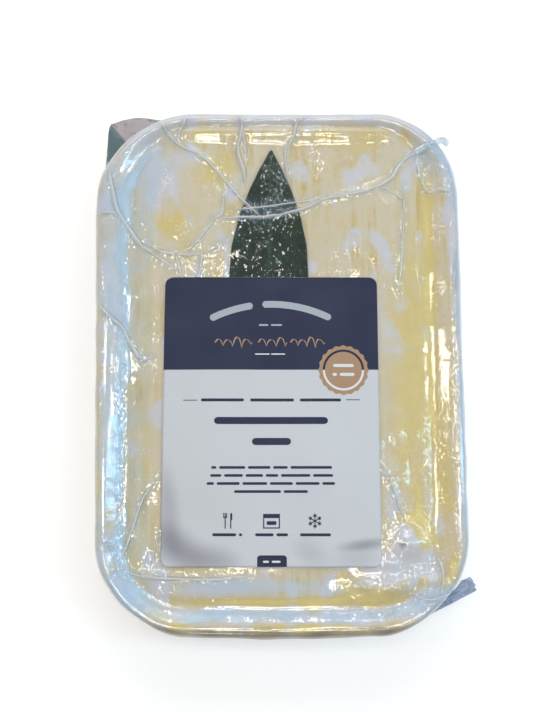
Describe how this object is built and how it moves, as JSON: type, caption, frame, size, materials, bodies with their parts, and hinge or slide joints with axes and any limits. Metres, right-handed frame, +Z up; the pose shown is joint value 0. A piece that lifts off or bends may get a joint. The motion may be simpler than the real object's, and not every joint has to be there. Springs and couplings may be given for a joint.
{
  "type": "film-wrapped chicken pot pie",
  "caption": "Rectangular unbaked chicken pie with a rounded pastry edge in its foil tray, sealed in clear film, with a bay leaf and a plain label.",
  "frame": {"origin": "centre of the tray's flat base, on the surface that the pie stands on", "axes": "+Z up; +Y along the pie's long side, from its front edge towards the end with the bay leaf; +X to the right when the label is read"},
  "size_m": [0.1704, 0.2374, 0.0368],
  "materials": {
    "tray_foil": "satin",
    "raw_pastry": "satin",
    "clear_film": "gloss",
    "bay_leaf": "satin",
    "label_paper": "satin",
    "label_ink": "satin"
  },
  "bodies": {
    "root": {"tray": "tray_foil", "wrapped_pie": "raw_pastry", "leaf": "bay_leaf", "label": "label_paper"}
  },
  "joints": []
}
